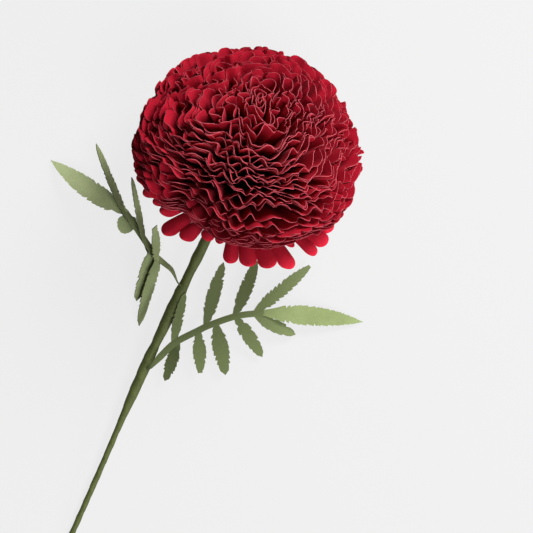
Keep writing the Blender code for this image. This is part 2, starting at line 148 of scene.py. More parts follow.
@dataclass(frozen=True)
class CraftPaper(Finish):
    """Dyed craft paper, about 140 grams: a matt felted sheet, with colour that varies a little by fibre, over
    painted shade and light that run from the deep colour to the lit one.
    """

    lit: str
    deep: str
    fleck: str
    # Real fibres are about 0.03 mm thick, too fine to show, so they are drawn as coarse as they need
    fibre_mm: float = 0.9
    # The dye takes a little unevenly over a centimetre
    cloud_mm: float = 11.0
    bump_mm: float = 0.05
    bump_strength: float = 0.35
    roughness: float = 0.85
    ior: float = 1.5
    gloss: float = 0.12
    sheen: float = 0.02

    def surface(self, tree: bpy.types.NodeTree) -> bpy.types.NodeSocket:
        """Draw fibres and clouds over a colour that the attribute reach takes from deep (0) to lit (1):
        painted shade and painted light.

        Args:
            tree: the material's node tree.

        Returns:
            The shader's output.
        """
        at: Links = {"Vector": add_node(tree, "TexCoord").outputs["Object"]}
        fibre_settings: Settings = {"Scale": MM_PER_M / self.fibre_mm, "Detail": 3.0, "Roughness": 0.65}
        fibre = add_node(tree, "TexNoise", fibre_settings, at)
        cloud = add_node(tree, "TexNoise", {"Scale": MM_PER_M / self.cloud_mm, "Detail": 2.0}, at)
        reach = add_node(tree, "Attribute", {"attribute_name": "reach"})
        # Painted shade and painted light: each point's share in the attribute reach takes the colour from
        # deep to lit
        painted_light_and_shade = add_node(
            tree,
            "Mix",
            {"data_type": "RGBA", COLOUR_A: srgb(self.deep), COLOUR_B: srgb(self.lit)},
            {"Factor": reach.outputs["Fac"]},
        )
        patches = add_node(
            tree,
            "MapRange",
            {"From Min": 0.35, "From Max": 0.7, "To Min": 0.0, "To Max": 0.35},
            {"Value": cloud.outputs["Fac"]},
        )
        flecked = add_node(
            tree,
            "Mix",
            {"data_type": "RGBA", COLOUR_B: srgb(self.fleck)},
            {"Factor": patches.outputs["Result"], COLOUR_A: painted_light_and_shade.outputs[COLOUR_OUT]},
        )
        grain = add_node(
            tree,
            "MapRange",
            {"From Min": 0.3, "From Max": 0.7, "To Min": 0.9, "To Max": 1.1},
            {"Value": fibre.outputs["Fac"]},
        )
        shaded = add_node(
            tree,
            "HueSaturation",
            {"Fac": 1.0},
            {"Color": flecked.outputs[COLOUR_OUT], "Value": grain.outputs["Result"]},
        )
        bump = add_node(
            tree,
            "Bump",
            {"Strength": self.bump_strength, "Distance": self.bump_mm * MM},
            {"Height": fibre.outputs["Fac"]},
        )
        shader = add_node(
            tree,
            "BsdfPrincipled",
            {
                "Roughness": self.roughness,
                "IOR": self.ior,
                "Specular IOR Level": self.gloss,
                "Sheen Weight": self.sheen,
            },
            {"Base Color": shaded.outputs["Color"], "Normal": bump.outputs["Normal"]},
        )
        return shader.outputs["BSDF"]


@dataclass(frozen=True)
class CutEdge(Finish):
    """The cut edge of dyed paper: rough fibre ends. The crimson edge is paler, less dyed than the faces; the
    olive edge is darker, painted shade of a cut edge in shadow.
    """

    colour: str
    pale: str
    # Fibre ends are too fine to show, so they are drawn as coarse as they need
    fibre_mm: float = 1.4
    roughness: float = 0.95
    ior: float = 1.5
    gloss: float = 0.1

    def surface(self, tree: bpy.types.NodeTree) -> bpy.types.NodeSocket:
        """Vary the edge's colour by its fibres.

        Args:
            tree: the material's node tree.

        Returns:
            The shader's output.
        """
        at: Links = {"Vector": add_node(tree, "TexCoord").outputs["Object"]}
        fibre = add_node(tree, "TexNoise", {"Scale": MM_PER_M / self.fibre_mm, "Detail": 2.0}, at)
        mix = add_node(
            tree,
            "Mix",
            {"data_type": "RGBA", COLOUR_A: srgb(self.colour), COLOUR_B: srgb(self.pale)},
            {"Factor": fibre.outputs["Fac"]},
        )
        shader = add_node(
            tree,
            "BsdfPrincipled",
            {"Roughness": self.roughness, "IOR": self.ior, "Specular IOR Level": self.gloss},
            {"Base Color": mix.outputs[COLOUR_OUT]},
        )
        return shader.outputs["BSDF"]


@dataclass(frozen=True)
class FloralTape(Finish):
    """Waxed crepe paper tape, wound and rubbed down: a soft wax gloss over fine crepe lines."""

    name: str = "waxed_crepe_tape"
    light: str = "#606a34"
    dark: str = "#333c1c"
    # Crepe lines are about 0.4 mm apart, too fine to show, so they are drawn as coarse as they need
    crepe_mm: float = 1.1
    crepe_share: float = 0.8
    bump_mm: float = 0.12
    bump_strength: float = 0.5
    roughness: float = 0.62
    ior: float = 1.45
    gloss: float = 0.35

    def surface(self, tree: bpy.types.NodeTree) -> bpy.types.NodeSocket:
        """Draw the crepe over the turns' painted light and shade, which a point attribute carries along the
        stem.

        Args:
            tree: the material's node tree.

        Returns:
            The shader's output.
        """
        at: Links = {"Vector": add_node(tree, "TexCoord").outputs["Object"]}
        crepe_settings: Settings = {"Scale": MM_PER_M / self.crepe_mm, "Detail": 3.0, "Roughness": 0.6}
        crepe = add_node(tree, "TexNoise", crepe_settings, at)
        lap_light_and_shade = add_node(tree, "Attribute", {"attribute_name": "lap_light_and_shade"})
        blend = add_node(
            tree,
            "Math",
            {"operation": "MULTIPLY_ADD", 1: self.crepe_share},
            {0: crepe.outputs["Fac"], 2: lap_light_and_shade.outputs["Fac"]},
        )
        ramp = add_node(
            tree, "MapRange", {"From Min": 0.25, "From Max": 1.25}, {"Value": blend.outputs["Value"]}
        )
        mix = add_node(
            tree,
            "Mix",
            {"data_type": "RGBA", COLOUR_A: srgb(self.dark), COLOUR_B: srgb(self.light)},
            {"Factor": ramp.outputs["Result"]},
        )
        bump = add_node(
            tree,
            "Bump",
            {"Strength": self.bump_strength, "Distance": self.bump_mm * MM},
            {"Height": blend.outputs["Value"]},
        )
        shader = add_node(
            tree,
            "BsdfPrincipled",
            {"Roughness": self.roughness, "IOR": self.ior, "Specular IOR Level": self.gloss},
            {"Base Color": mix.outputs[COLOUR_OUT], "Normal": bump.outputs["Normal"]},
        )
        return shader.outputs["BSDF"]


@dataclass(frozen=True)
class FloristWire(Finish):
    """Florist's wire: drawn steel, grey and satin with a little mill scale, or wound in thin green paper."""

    bright: str
    dull: str
    metallic: float
    roughness: float
    patch_mm: float = 2.0

    def surface(self, tree: bpy.types.NodeTree) -> bpy.types.NodeSocket:
        """Vary the colour in small patches.

        Args:
            tree: the material's node tree.

        Returns:
            The shader's output.
        """
        at: Links = {"Vector": add_node(tree, "TexCoord").outputs["Object"]}
        patches = add_node(tree, "TexNoise", {"Scale": MM_PER_M / self.patch_mm, "Detail": 3.0}, at)
        mix = add_node(
            tree,
            "Mix",
            {"data_type": "RGBA", COLOUR_A: srgb(self.dull), COLOUR_B: srgb(self.bright)},
            {"Factor": patches.outputs["Fac"]},
        )
        shader = add_node(
            tree,
            "BsdfPrincipled",
            {"Roughness": self.roughness, "Metallic": self.metallic},
            {"Base Color": mix.outputs[COLOUR_OUT]},
        )
        return shader.outputs["BSDF"]


def seen_directly(tree: bpy.types.NodeTree) -> bpy.types.NodeSocket:
    """Tell where the camera, a gloss or a clear surface looks at the floor or the world.

    Args:
        tree: the node tree of the floor's material or of the world.

    Returns:
        A socket that is one there, and zero where the surface only lights others.
    """
    path = add_node(tree, "LightPath")
    total: bpy.types.NodeSocket = path.outputs["Is Camera Ray"]
    for name in ("Is Glossy Ray", "Is Transmission Ray"):
        joined = add_node(tree, "Math", {"operation": "MAXIMUM"}, {0: total, 1: path.outputs[name]})
        total = joined.outputs["Value"]
    return total


@dataclass(frozen=True)
class BackgroundPaper(Finish):
    """A matt studio paper: it is seen in its own pale colour under the flower's soft shadow."""

    name: str = "matt_background_paper"
    pale: str = "#eeeeee"
    shaded: str = "#f4f4f4"
    bounce: str = "#6e6e6e"
    shadow_share: float = 0.09

    def surface(self, tree: bpy.types.NodeTree) -> bpy.types.NodeSocket:
        """Show the pale colour with a share of shadow, and light the flower from a plain grey.

        Args:
            tree: the material's node tree.

        Returns:
            The shader's output.
        """
        lit = add_node(tree, "BsdfDiffuse", {"Color": srgb(self.bounce)})
        shaded = add_node(tree, "BsdfDiffuse", {"Color": srgb(self.shaded)})
        pale = add_node(tree, "Emission", {"Color": srgb(self.pale), "Strength": 1.0})
        shown = add_node(
            tree,
            "MixShader",
            {"Fac": self.shadow_share},
            {1: pale.outputs["Emission"], 2: shaded.outputs["BSDF"]},
        )
        ends: Links = {"Fac": seen_directly(tree), 1: lit.outputs["BSDF"], 2: shown.outputs["Shader"]}
        return add_node(tree, "MixShader", None, ends).outputs["Shader"]


def design_offset() -> Vector:
    """Where the fields' origin lies in the frame, in metres, from the stem's cut end."""
    mount = next(m for m in frame["record"]["mounts"] if m["name"] == "stem_cut_end")
    return Vector(mount["pos_m"]) - Vector(CUT_END) * MM


def add_object(name: str, data: bpy.types.ID) -> bpy.types.Object:
    """Put a mesh, a lamp or a camera in the scene.

    Args:
        name: the object's name.
        data: what it shows or is.

    Returns:
        The new object.
    """
    thing = bpy.data.objects.new(name, data)
    bpy.context.scene.collection.objects.link(thing)
    return thing


def add_piece(name: str, mesh: bpy.types.Mesh, materials: Sequence[bpy.types.Material]) -> bpy.types.Object:
    """Put a mesh in the scene with its materials and let it ride with the part.

    Args:
        name: the piece's name.
        mesh: its mesh, in metres.
        materials: its material slots in order.

    Returns:
        The new object.
    """
    piece = add_object(name, mesh)
    for material in materials:
        mesh.materials.append(material)
    mesh.shade_smooth()
    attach(piece, BODY)
    LOG.info("%s: %d vertices, %d faces", name, len(mesh.vertices), len(mesh.polygons))
    return piece


def dress_node(node: str, material: bpy.types.Material) -> None:
    """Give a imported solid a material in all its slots.

    Args:
        node: the solid's node.
        material: the material.
    """
    obj = frame["nodes"][node]
    if not obj.material_slots:
        obj.data.materials.append(material)
    for slot in obj.material_slots:
        slot.material = material
    LOG.info("%s: dressed in %s", node, material.name)


def thicken(piece: bpy.types.Object, thickness: float) -> None:
    """Give an open sheet its thickness, with the second material on its crisp cut edge.

    Args:
        piece: the sheet's object.
        thickness: the paper's thickness in millimetres.
    """
    mesh = piece.data
    edges = np.zeros(len(mesh.loops), dtype=np.int32)
    mesh.loops.foreach_get("edge_index", edges)
    faces_at_edge = np.bincount(edges, minlength=len(mesh.edges))
    crisp = mesh.attributes.new("sharp_edge", "BOOLEAN", "EDGE")
    crisp.data.foreach_set("value", faces_at_edge == 1)
    solid = piece.modifiers.new("Paper", "SOLIDIFY")
    solid.thickness = thickness * MM
    solid.offset = 0.0
    solid.material_offset_rim = 1


def rings_mesh(
    name: str, attribute: str, sheets: Sequence[tuple[np.ndarray, np.ndarray]], capped: bool = False
) -> bpy.types.Mesh:
    """Make closed rings of quads from rows of points.

    Args:
        name: the mesh's name.
        attribute: the name under which each point keeps its number.
        sheets: for each sheet, its points as rows x columns x 3, and one number for each point.
        capped: whether a face closes the first row and the last one.

    Returns:
        The mesh.
    """
    verts, faces, numbers = [], [], []
    for rows, values in sheets:
        first = len(verts)
        count, columns, _ = rows.shape
        for i in range(count - 1):
            for j in range(columns):
                k = (j + 1) % columns
                near, far = first + i * columns, first + (i + 1) * columns
                faces.append((near + j, near + k, far + k, far + j))
        if capped:
            last = first + (count - 1) * columns
            faces += [tuple(reversed(range(first, first + columns))), tuple(range(last, last + columns))]
        verts += rows.reshape(-1, 3).tolist()
        numbers += values.reshape(-1).tolist()
    mesh = bpy.data.meshes.new(name)
    mesh.from_pydata(verts, [], faces)
    mesh.update()
    layer = mesh.attributes.new(attribute, "FLOAT", "POINT")
    layer.data.foreach_set("value", np.asarray(numbers, dtype=np.float32))
    return mesh


def finished_mesh(name: str, bm: bmesh.types.BMesh, place: Matrix) -> bpy.types.Mesh:
    """Weld the strips of a sheet and turn them into a mesh.

    Args:
        name: the mesh's name.
        bm: the strips in millimetres; it is freed here.
        place: takes them into the part, in metres.

    Returns:
        The mesh.
    """
    bmesh.ops.remove_doubles(bm, verts=bm.verts, dist=WELD)
    bmesh.ops.recalc_face_normals(bm, faces=bm.faces)
    mesh = bpy.data.meshes.new(name)
    bm.to_mesh(mesh)
    bm.free()
    mesh.transform(place)
    return mesh


def read_table(table: Sequence[Range], x: float) -> float:
    """Linear reading of a table of pairs."""
    return float(np.interp(x, [row[0] for row in table], [row[1] for row in table]))


def degrees_off(degrees: float | np.ndarray, azimuth: float) -> float | np.ndarray:
    """How far angles lie from an azimuth, all in degrees, from -180 to 180."""
    return (degrees - azimuth + 180.0) % 360.0 - 180.0


@dataclass
class Route:
    """A smooth curve through a few chosen points, read by distance along it."""

    points: Sequence[Vector]
    fineness: int = 24
    look: float = 0.4
    places: list[Vector] = field(default_factory=list)
    lengths: list[float] = field(default_factory=list)

    def __post_init__(self) -> None:
        """Sample the curve: a cubic from each point to the next, with slopes from the points around."""
        last = len(self.points) - 1
        for i in range(last):
            before = self.points[max(i - 1, 0)]
            after = self.points[min(i + 2, last)]
            start, end = self.points[i], self.points[i + 1]
            slope_in = (end - before) * 0.5
            slope_out = (after - start) * 0.5
            for k in range(self.fineness):
                t = k / self.fineness
                a = 2 * t**3 - 3 * t**2 + 1
                b = t**3 - 2 * t**2 + t
                c = -2 * t**3 + 3 * t**2
                d = t**3 - t**2
                self.places.append(a * start + b * slope_in + c * end + d * slope_out)
        self.places.append(self.points[-1].copy())
        self.lengths.append(0.0)
        for near, far in zip(self.places, self.places[1:]):
            self.lengths.append(self.lengths[-1] + (far - near).length)

    @property
    def total(self) -> float:
        """The curve's length."""
        return self.lengths[-1]

    def at(self, distance: float) -> Vector:
        """Find a point on the curve.

        Args:
            distance: how far along the curve it lies.

        Returns:
            The point.
        """
        distance = min(max(distance, 0.0), self.total)
        i = int(np.searchsorted(self.lengths, distance))
        i = min(max(i, 1), len(self.places) - 1)
        span = self.lengths[i] - self.lengths[i - 1]
        share = (distance - self.lengths[i - 1]) / span if span > 0 else 0.0
        return self.places[i - 1].lerp(self.places[i], share)

    def along(self, distance: float) -> Vector:
        """The unit direction at a distance along the curve."""
        return (self.at(distance + self.look) - self.at(distance - self.look)).normalized()


@dataclass
class PetalHead:
    """The ball of ruffled discs over the skirt of long petals, in millimetres about its own centre."""

    radius: float = 55.4
    dome: float = 40.0
    underside: float = 27.0
    lowest_angle: float = math.radians(137.0)
    outline_overrun: float = 1.12
    outline_samples: int = 1600
    tilt: float = math.radians(36.0)
    turn: float = math.radians(8.0)
    centre_height: float = 51.4
    # Places where the ball is a little flat: azimuth and reach in degrees, and the share it loses
    flats: Sequence[Spot] = (
        (38.0, 15.0, 0.045), (168.0, 24.0, 0.06), (226.0, 12.0, 0.04), (254.0, 16.0, 0.14), (241.0, 7.0, 0.1),
        (285.0, 22.0, 0.06), (118.0, 26.0, 0.05), (26.0, 9.0, 0.045), (0.0, 14.0, 0.03), (318.0, 12.0, 0.03),
    )
    # Places where the folds are calmer, or livelier by a share below zero: azimuth in degrees, length
    # from the top and reach in mm, share
    calm: Sequence[tuple[float, float, float, float]] = (
        (232.0, 62.0, 26.0, 0.5), (300.0, 88.0, 22.0, 0.35), (152.0, 46.0, 30.0, -0.35),
        (95.0, 60.0, 30.0, -0.3), (266.0, 40.0, 15.0, -0.9), (330.0, 45.0, 14.0, -0.6),
    )

    # The discs, each of two sheets, and where they sit on the wire
    layers: int = 21
    sheets_per_layer: int = 2
    apex_gap: float = 3.5
    skirt_seat: float = -26.0
    seat_pitch: float = 1.15
    knee_min: float = 2.6
    knee_pitch: float = 0.95
    hole: float = 1.2
    paper: float = 0.26
    seed: int = 1200

    # The folds of a rim; both tables are read by the rim's length from the top
    petal_widths: Sequence[Range] = ((0.0, 7.0), (40.0, 7.9), (70.0, 8.6), (110.0, 10.5))
    fold_depths: Sequence[Range] = ((0, 0.9), (9, 3.2), (30, 4.0), (55, 3.8), (78, 2.9), (110, 1.9))
    fewest_petals: int = 5
    petal_spread: Range = (0.5, 1.5)
    crease_share: Range = (0.3, 0.7)
    slit_swing: Range = (-0.2, 1.0)
    crease_swing: Range = (0.2, 1.1)
    outward_share: float = 0.7
    # Half the width of a rim's jump at a slit, in radians
    slit_jump: float = 1e-6
    # How widely corners are rounded, in mm along the rim, and the least values for the smallest rims
    softening: float = 0.75
    least_round: float = 10.0
    least_width: float = 0.5
    # Slow waves of a rim: how many go round, and their size
    rim_waves: Sequence[tuple[int, float]] = ((2, 1.2), (5, 0.9))
    rim_wave_start: float = 20.0
    # Pressing the rims apart
    gap: float = 0.7
    press_rounds: int = 80
    highest_rim: float = 0.8
    lowest_overrun: float = 1.5
    round_angles: int = 2880

    # The slow waves that all the discs share: wavelength and size
    shared_waves: Sequence[Range] = ((44.0, 2.6), (30.0, 1.7), (23.0, 0.8))
    shared_wave_seed: int = 77
    sideways_share: float = 0.6
    shared_wave_start: float = 9.0
    axis_room: float = 8.0
    squeeze: float = 0.6
    squeeze_reach: float = 12.0
    squeeze_azimuth: float = math.radians(106.0)

    # A petal's tip and the slit beside it
    columns: int = 12
    rows: int = 8
    row_bias: float = 0.8
    tip: float = 1.4
    tip_spread: Range = (-2.6, 1.8)
    tip_skew: Range = (-1.0, 1.0)
    rounding: float = 3.6
    rounding_power: float = 3.2
    deep_slit: Range = (2.5, 7.5)
    deep_slit_share: float = 0.72
    shallow_slit: Range = (0.6, 2.0)
    full_tips_from: float = 14.0
    curl: float = 1.4
    curl_back: float = 0.9

    # The skirt: its petals' usual length from the axis, and where they part
    skirt_radius: float = 51.5
    skirt_petals: int = 36
    skirt_first: float = 8.5
    skirt_notch: float = 33.0
    skirt_rim: float = -24.0
    skirt_half_width: float = 5.0
    skirt_room: float = 0.985
    skirt_opening: float = 5.0
    skirt_rise: float = 0.4
    skirt_droop: float = 0.4
    skirt_across: int = 10
    skirt_up: int = 16
    skirt_shape_seed: int = 5
    skirt_length_spread: Range = (-1.8, 1.8)
    skirt_lift: Range = (-0.9, 0.9)
    skirt_twist: Range = (-0.16, 0.16)
    skirt_crown: Range = (0.9, 1.8)
    skirt_bluntness: Range = (1.9, 3.0)
    # The long petals that show from above: petal number, lean in degrees and length
    long_petals: Sequence[tuple[int, float, float]] = (
        (20, 0.0, 49.0), (21, -2.0, 46.0), (22, -3.5, 45.5), (23, -0.5, 51.3), (24, -1.0, 47.5),
        (25, 1.5, 41.0), (26, 0.5, 40.0), (27, -1.0, 49.5), (28, 0.0, 50.5), (29, 1.0, 52.6), (30, 2.0, 55.4),
        (31, 1.0, 45.0), (32, -3.0, 55.0), (33, -4.0, 54.5), (34, -2.0, 52.0), (35, 0.0, 50.0),
    )

    # The discs' paper: its lit crimson at the rims, and painted shade in its deep colour near the wire, deep
    # in the ball
    finish: CraftPaper = CraftPaper("crimson_craft_paper", "#bd172f", "#6c0817", "#a51029")
    # The skirt's paper is a brighter copy of the discs' crimson: painted light where the ball shades the
    # skirt, and painted shade in its deep colour near the wire
    skirt_paper_painted_light: CraftPaper = CraftPaper("crimson_craft_paper_painted_light", "#e4273f", "#bf1f38", "#d6223c")
    edge: CutEdge = CutEdge("crimson_cut_edge", "#bf4652", "#d06672")

    def __post_init__(self) -> None:
        """Measure the outline."""
        angles = np.linspace(0.0, self.lowest_angle * self.outline_overrun, self.outline_samples)
        height = np.where(angles < math.pi / 2, self.dome, self.underside)
        self.outline_r = self.radius * np.sin(angles)
        self.outline_z = height * np.cos(angles)
        steps = np.hypot(np.diff(self.outline_r), np.diff(self.outline_z))
        self.outline_s = np.concatenate([[0.0], np.cumsum(steps)])
        self.full_length = float(np.interp(self.lowest_angle, angles, self.outline_s))

    def lean(self) -> Matrix:
        """The head's turn and tilt."""
        return Matrix.Rotation(self.turn, 4, "Z") @ Matrix.Rotation(-self.tilt, 4, "X")

    def placing(self) -> Matrix:
        """The head's place and lean in the part, in metres."""
        place = design_offset() + Vector((0.0, 0.0, self.centre_height * MM))
        return Matrix.Translation(place) @ self.lean() @ Matrix.Scale(MM, 4)

    def roundness(self, angle: np.ndarray) -> np.ndarray:
        """Flatten the ball's round outline in places.

        Args:
            angle: azimuths in radians.

        Returns:
            How much of its full radius the ball has there.
        """
        share = np.ones_like(angle)
        for azimuth, reach, loss in self.flats:
            share -= loss * np.exp(-((degrees_off(np.degrees(angle), azimuth) / reach) ** 2))
        return share

    def on_outline(self, length: np.ndarray) -> tuple[np.ndarray, np.ndarray]:
        """Radius and height on the outline at lengths from its top."""
        return (
            np.interp(length, self.outline_s, self.outline_r),
            np.interp(length, self.outline_s, self.outline_z),
        )

    def liveliness(self, angle: float, length: float) -> float:
        """Tell how deep the folds are at a place on the ball.

        Args:
            angle: its azimuth in radians.
            length: its length from the top.

        Returns:
            The depth against the usual one.
        """
        radius = float(self.on_outline(np.array(length))[0])
        share = 1.0
        for azimuth, down, reach, loss in self.calm:
            off = math.radians(degrees_off(math.degrees(angle), azimuth)) * radius
            share -= loss * math.exp(-((math.hypot(off, length - down) / reach) ** 2))
        return share

    def fold_wave(
        self, cuts: Sequence[float], widths: np.ndarray, middle: float, draw: random.Random
    ) -> tuple[list[float], list[float], list[float]]:
        """Fold each petal of a rim once, at its crease.

        Args:
            cuts: the angles of the slits, with the first one again at the end.
            widths: the petals' shares of the usual width.
            middle: the rim's length from the top.
            draw: the sheet's random draw.

        Returns:
            The angles where the wave is known, how far it swings there, and the creases' angles.
        """
        depth = read_table(self.fold_depths, middle)
        marks, swings, creases = [], [], []
        for start, end, width in zip(cuts, cuts[1:], widths):
            size = depth * self.liveliness(start, middle) * (0.5 + 0.5 * width)
            way = size * (1 if draw.random() < self.outward_share else -1)
            crease = start + (end - start) * draw.uniform(*self.crease_share)
            creases.append(crease)
            marks += [start + self.slit_jump, crease, end - self.slit_jump]
            swings += [way * draw.uniform(*self.slit_swing), -way * draw.uniform(*self.crease_swing)]
            swings.append(way * draw.uniform(*self.slit_swing))
        return marks, swings, creases

    def folded_rims(self) -> tuple[np.ndarray, list[dict[str, Any]]]:
        """Fold every rim to and fro, then press the rims apart where they would cross.

        Returns:
            The rims' lengths on the outline, as sheets from the top x angles, and each sheet's petals.
        """
        sheets = self.layers * self.sheets_per_layer
        angles = np.arange(self.round_angles) * FULL_TURN / self.round_angles
        spacing = (self.full_length - self.apex_gap) / (self.layers - 1) / self.sheets_per_layer
        rims = np.zeros((sheets, self.round_angles))
        folds = []
        for j in range(sheets):
            draw = random.Random(self.seed + sheets - j)
            middle = self.apex_gap + spacing * (j - 0.5)
            around = FULL_TURN * float(self.on_outline(np.array(middle))[0])
            count = max(self.fewest_petals, round(around / read_table(self.petal_widths, middle)))
            widths = np.array([draw.uniform(*self.petal_spread) for _ in range(count)])
            edges = np.concatenate([[0.0], np.cumsum(widths)]) / widths.sum()
            cuts = (draw.uniform(0.0, FULL_TURN) + FULL_TURN * edges).tolist()
            marks, swings, creases = self.fold_wave(cuts, widths, middle, draw)
            turned = (angles - cuts[0]) % FULL_TURN + cuts[0]
            wave = np.interp(turned, marks, swings)
            slow = [size * np.sin(times * angles + draw.uniform(*SHIFTS)) for times, size in self.rim_waves]
            hold = min(1.0, middle / self.rim_wave_start)
            width = self.softening / max(around, self.least_round) * self.round_angles
            rims[j] = middle + self.soften(wave, width) + sum(slow) * hold
            folds.append({"cuts": cuts, "creases": creases, "middle": middle, "draw": draw})
        for _ in range(self.press_rounds):
            for j in range(sheets - 1):
                short = np.maximum(0.0, self.gap - (rims[j + 1] - rims[j]))
                rims[j] -= short / 2
                rims[j + 1] += short / 2
            rims[0] = np.maximum(rims[0], self.highest_rim)
            rims[-1] = np.minimum(rims[-1], self.full_length + self.lowest_overrun)
        return rims, folds

    def soften(self, wave: np.ndarray, width: float) -> np.ndarray:
        """Round the corners of a wave.

        Args:
            wave: its samples once round.
            width: the width to round them over, in samples.

        Returns:
            The rounded samples.
        """
        count = len(wave)
        shift = np.minimum(np.arange(count), count - np.arange(count))
        kernel = np.exp(-0.5 * (shift / max(width, self.least_width)) ** 2)
        return np.real(np.fft.ifft(np.fft.fft(wave) * np.fft.fft(kernel / kernel.sum())))

    def warp(self, angle: np.ndarray, length: np.ndarray) -> tuple[np.ndarray, np.ndarray]:
        """Bend all the discs in the same slow waves, so that the rings aren't true circles.

        Args:
            angle: azimuths in radians.
            length: lengths from the top.

        Returns:
            The same places after the bend.
        """
        radius, height = self.on_outline(length)
        x, y = radius * np.cos(angle), radius * np.sin(angle)
        draw = random.Random(self.seed + self.shared_wave_seed)
        along = np.zeros_like(length)
        around = np.zeros_like(length)
        for wavelength, size in self.shared_waves:
            for target, share in ((along, 1.0), (around, self.sideways_share)):
                lean = Vector([draw.gauss(0, 1) for _ in range(3)]).normalized() * (FULL_TURN / wavelength)
                shift = draw.uniform(*SHIFTS)
                target += share * size * np.sin(lean.x * x + lean.y * y + lean.z * height + shift)
        hold = np.clip(length / self.shared_wave_start, 0.0, 1.0)
        near_top = self.squeeze * np.exp(-((length / self.squeeze_reach) ** 2))
        squeeze = 1.0 + near_top * np.cos(2 * (angle - self.squeeze_azimuth))
        return angle + hold * around / (radius + self.axis_room), length * squeeze + hold * along

    def petal_columns(self, fold: dict[str, Any]) -> tuple[np.ndarray, np.ndarray]:
        """Lay columns over a disc's petals, close together at the slits.

        Args:
            fold: the disc's cuts, creases and random draw.

        Returns:
            The columns' angles, and how far each stands proud of the rim.
        """
        draw = fold["draw"]
        angle, proud = [], []
        for start, crease, end in zip(fold["cuts"], fold["creases"], fold["cuts"][1:]):
            tip = self.tip + draw.uniform(*self.tip_spread)
            deep = draw.random() < self.deep_slit_share
            slit = draw.uniform(*(self.deep_slit if deep else self.shallow_slit))
            skew = draw.uniform(*self.tip_skew)
            for c in range(self.columns):
                u = 0.5 - 0.5 * math.cos(math.pi * c / self.columns)
                if u < 0.5:
                    angle.append(start + (crease - start) * 2 * u)
                else:
                    angle.append(crease + (end - crease) * (2 * u - 1))
                fall = self.rounding * abs(2 * u - 1) ** self.rounding_power
                proud.append(tip - fall + skew * (u - 0.5) if c else -slit)
        return np.array(angle), np.array(proud) * min(1.0, fold["middle"] / self.full_tips_from)

    def sheet_rows(self, j: int, rim: np.ndarray, fold: dict[str, Any]) -> tuple[np.ndarray, np.ndarray]:
        """Shape one ruffled disc: flat at the wire, then up from its knee to its rim.

        Args:
            j: the sheet's place from the top.
            rim: its lengths on the outline at the common angles.
            fold: its cuts, creases and random draw.

        Returns:
            The disc's points as rows x columns x 3, and the share of the way to the rim, cubed, which paints
            shade near the wire.
        """
        place = self.layers - (j - 0.5) / self.sheets_per_layer
        low = self.skirt_seat + self.seat_pitch * place
        knee = self.knee_min + self.knee_pitch * (self.layers - place + 0.5)
        angle, proud = self.petal_columns(fold)
        grid = np.arange(self.round_angles + 1) * FULL_TURN / self.round_angles
        length = np.interp(angle % FULL_TURN, grid, np.append(rim, rim[0]))
        turned, length = self.warp(angle, length)
        radius, height = self.on_outline(length)
        radius = radius * self.roundness(turned)
        run_r, run_z = radius - knee, height - low
        size = np.hypot(run_r, run_z)
        hole = (self.hole * np.cos(angle), self.hole * np.sin(angle), np.full_like(radius, low))
        rows = [np.stack(hole, axis=1)]
        reach = [np.zeros_like(radius)]
        for i in range(self.rows + 1):
            t = (i / self.rows) ** self.row_bias
            stretch = t * (1.0 + proud * t / size)
            bend = self.curl * (t**3 - self.curl_back * t)
            r = knee + run_r * stretch + bend * run_z / size
            z = low + run_z * stretch - bend * run_r / size
            swing = angle + (turned - angle) * t
            rows.append(np.stack([r * np.cos(swing), r * np.sin(swing), z], axis=1))
            # The colour's share grows as t cubed, so the sheet stays deep near the wire and lit only near its
            # rim: painted shade
            reach.append(np.full_like(radius, t**3))
        return np.array(rows), np.array(reach)

    def skirt_centre(self, petal: int) -> float:
        """Find a skirt petal's azimuth.

        Args:
            petal: its number, which may run on past a full turn.

        Returns:
            The azimuth of its middle, in radians.
        """
        leans = {number: lean for number, lean, _ in self.long_petals}
        lean = leans.get(petal % self.skirt_petals, 0.0)
        return math.radians(self.skirt_first + 360.0 / self.skirt_petals * petal + lean)

    def skirt_mesh(self) -> bpy.types.Mesh:
        """Make the lowest disc with its long, round-ended, slightly crowned petals.

        Returns:
            The mesh, with its attribute reach, which paints the colour darker towards the wire: painted
            shade.
        """
        draw = random.Random(self.seed)
        shape = random.Random(self.seed + self.skirt_shape_seed)
        knee = self.knee_min + self.knee_pitch * self.layers
        lengths = {number: length for number, _, length in self.long_petals}
        across, half_width = self.skirt_across, self.skirt_half_width
        bm = bmesh.new()
        painted_shade_layer = bm.verts.layers.float.new("reach")

        def put(r: float, a: float, z: float, reach: float) -> bmesh.types.BMVert:
            """Add a point by radius, angle and height, with its colour's reach, and return it."""
            vert = bm.verts.new((r * math.cos(a), r * math.sin(a), z))
            vert[painted_shade_layer] = reach
            return vert

        for petal in range(self.skirt_petals):
            usual = self.skirt_radius + draw.uniform(*self.skirt_length_spread)
            lift = draw.uniform(*self.skirt_lift)
            length = lengths.get(petal, usual)
            twist = shape.uniform(*self.skirt_twist)
            crown = shape.uniform(*self.skirt_crown)
            blunt = shape.uniform(*self.skirt_bluntness)
            middle = self.skirt_centre(petal)
            start = (middle + self.skirt_centre(petal - 1)) / 2
            end = (middle + self.skirt_centre(petal + 1)) / 2
            rows = []
